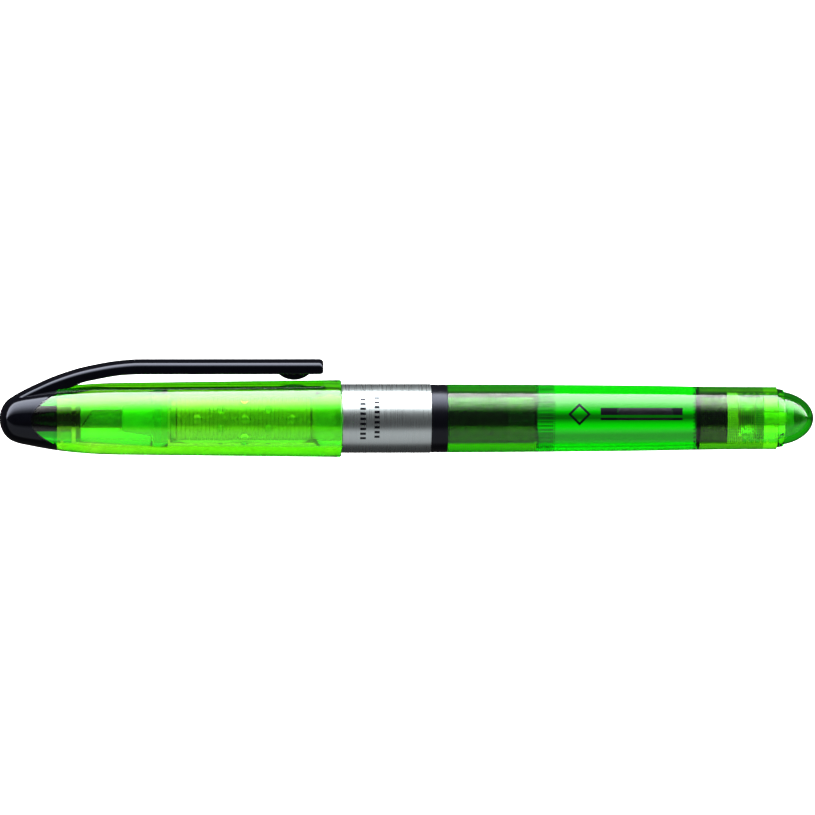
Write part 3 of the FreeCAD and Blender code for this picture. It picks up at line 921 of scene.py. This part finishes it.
def make_sleeve_marks():
    """Two columns of short dashes round the sleeve."""
    shapes = []
    for x0, x1, lowest in DASH_COLUMNS:
        for k in range(DASHES):
            s = lowest + k * DASH_PITCH
            shapes += bar(x0, x1, s, s + DASH_PITCH / 2, 2)
    wrapped("sleeve_marks", shapes, lambda x: SLEEVE_RADIUS, DASH_TURN)


make_halftone("halftone_front", BARREL_FRONT + 0.05, INK_FRONT + 3.2)
make_halftone("halftone_rear", INK_REAR, BARREL_REAR - 2.4)
make_barrel_marks()
make_sleeve_marks()
make_crown_and_clip()
make_nose_insert()
make_cap_shell()
make_inner_cap()
make_section()
make_sleeve()
make_coupling()
make_regulator()
make_barrel()
make_ink()
make_end_dome()
make_end_plug()


# ---- studio ----
# Light round the pen's axis: degrees from the front (-Y) up over the top, and its strength. SHINE is what
# reflections and rough surfaces receive. THROUGH is what rays receive that have passed through clear plastic.
LIFT = 5.0                 # degrees that the whole ring is turned by
SHINE = [
    (-180, 0.04), (-100, 0.04), (-90, 0.42), (-45, 0.55), (-30, 0.05), (25, 0.04),
    (38, 1.5), (66, 9.0), (92, 11.5), (95, 0.08), (150, 0.04), (180, 0.04),
]
THROUGH = [
    (-180, 0.15), (-177, 0.2), (-173, 0.85), (-152, 1.0), (-120, 1.0), (-108, 0.5), (-90, 2.2), (-40, 2.7),
    (-28, 0.12), (22, 0.1), (36, 1.8), (66, 9.0), (92, 11.5), (95, 0.3), (122, 0.15), (129, 0.2), (134, 0.3),
    (138, 0.9), (141, 0.8), (143.5, 0.35), (145.5, 0.5), (148, 1.0), (150.5, 0.7), (153, 0.45), (158, 0.35),
    (164, 0.35), (168, 0.7), (172, 1.0), (175, 0.8), (178, 0.35), (180, 0.15),
]
STRONGEST = max(strength for _, strength in SHINE + THROUGH)


def light_ring(tree, angle, stops):
    """Strength of the light by direction round the pen."""
    ramp = tree.nodes.new("ShaderNodeValToRGB")
    elements = ramp.color_ramp.elements
    for index, (degrees, strength) in enumerate(stops):
        position = (degrees + 180) / 360
        element = elements[index] if index < 2 else elements.new(position)
        element.position = position
        value = strength / STRONGEST
        element.color = (value, value, value, 1)
    link(tree, angle, ramp.inputs["Fac"])
    return ramp.outputs["Color"]


def math_node(tree, operation, first, second=None):
    """A calculation on sockets or plain numbers."""
    node = tree.nodes.new("ShaderNodeMath")
    node.operation = operation
    for socket, value in zip(node.inputs, (first, second)):
        if value is None:
            continue
        if isinstance(value, (int, float)):
            socket.default_value = value
        else:
            link(tree, value, socket)
    return node.outputs["Value"]


def make_world():
    """Light from all round, and white paper where the camera sees past everything."""
    world = bpy.data.worlds.new("studio")
    bpy.context.scene.world = world
    world.use_nodes = True
    tree = world.node_tree
    background = tree.nodes["Background"]
    coords = tree.nodes.new("ShaderNodeTexCoord")
    split = tree.nodes.new("ShaderNodeSeparateXYZ")
    link(tree, coords.outputs["Generated"], split.inputs["Vector"])
    forward = math_node(tree, "MULTIPLY", split.outputs["Y"], -1.0)
    turn = math_node(tree, "ARCTAN2", split.outputs["Z"], forward)
    lifted = math_node(tree, "SUBTRACT", turn, math.radians(LIFT) - math.pi)
    part = math_node(tree, "DIVIDE", lifted, 2 * math.pi)
    angle = math_node(tree, "FRACT", part)
    shine = light_ring(tree, angle, SHINE)
    through = light_ring(tree, angle, THROUGH)
    path = tree.nodes.new("ShaderNodeLightPath")
    mix = tree.nodes.new("ShaderNodeMixRGB")
    link(tree, path.outputs["Is Transmission Ray"], mix.inputs["Fac"])
    link(tree, shine, mix.inputs["Color1"])
    link(tree, through, mix.inputs["Color2"])
    seen = tree.nodes.new("ShaderNodeMixRGB")
    seen.inputs["Color2"].default_value = (1 / STRONGEST, 1 / STRONGEST, 1 / STRONGEST, 1)
    link(tree, path.outputs["Is Camera Ray"], seen.inputs["Fac"])
    link(tree, mix.outputs["Color"], seen.inputs["Color1"])
    link(tree, seen.outputs["Color"], background.inputs["Color"])
    background.inputs["Strength"].default_value = STRONGEST


def make_floor():
    """Pale floor below the pen, seen by the camera only so the light from below still reaches the pen."""
    size, height = 3000, -45
    corners = [(-size, -size, height), (size, -size, height), (size, size, height), (-size, size, height)]
    paint = solid_plastic("floor_paint", (0.92, 0.92, 0.92), (0.8, 0.9), second=(0.9, 0.9, 0.9))
    floor = bare_object("floor", corners, [(0, 1, 2, 3)], paint)
    for kind in ("diffuse", "glossy", "transmission", "volume_scatter", "shadow"):
        setattr(floor, "visible_" + kind, False)


def make_camera():
    """Long lens at the photograph's viewing angle and framing."""
    azimuth = math.radians(-2.0)
    elevation = math.radians(5.0)
    roll = math.radians(0.12)
    distance = 1.5
    span = 0.14307                     # width seen at the pen
    aim = Vector((0.003766, 0, 0.00193))
    camera = bpy.data.cameras.new("camera")
    camera.sensor_width = 36
    camera.lens = camera.sensor_width * distance / span
    camera.clip_start = 0.05
    holder = bpy.data.objects.new("camera", camera)
    bpy.context.scene.collection.objects.link(holder)
    out = Vector((
        math.sin(azimuth) * math.cos(elevation),
        -math.cos(azimuth) * math.cos(elevation),
        math.sin(elevation),
    ))
    holder.location = aim + out * distance
    look = (aim - holder.location).to_track_quat("-Z", "Y").to_matrix().to_4x4()
    level = Matrix.Rotation(roll, 4, "Z")
    holder.matrix_world = Matrix.Translation(holder.location) @ look @ level
    bpy.context.scene.camera = holder


make_world()
make_floor()
make_camera()
scene = bpy.context.scene
scene.view_settings.view_transform = "Standard"
scene.cycles.max_bounces = 24
scene.cycles.transmission_bounces = 24
scene.cycles.glossy_bounces = 12
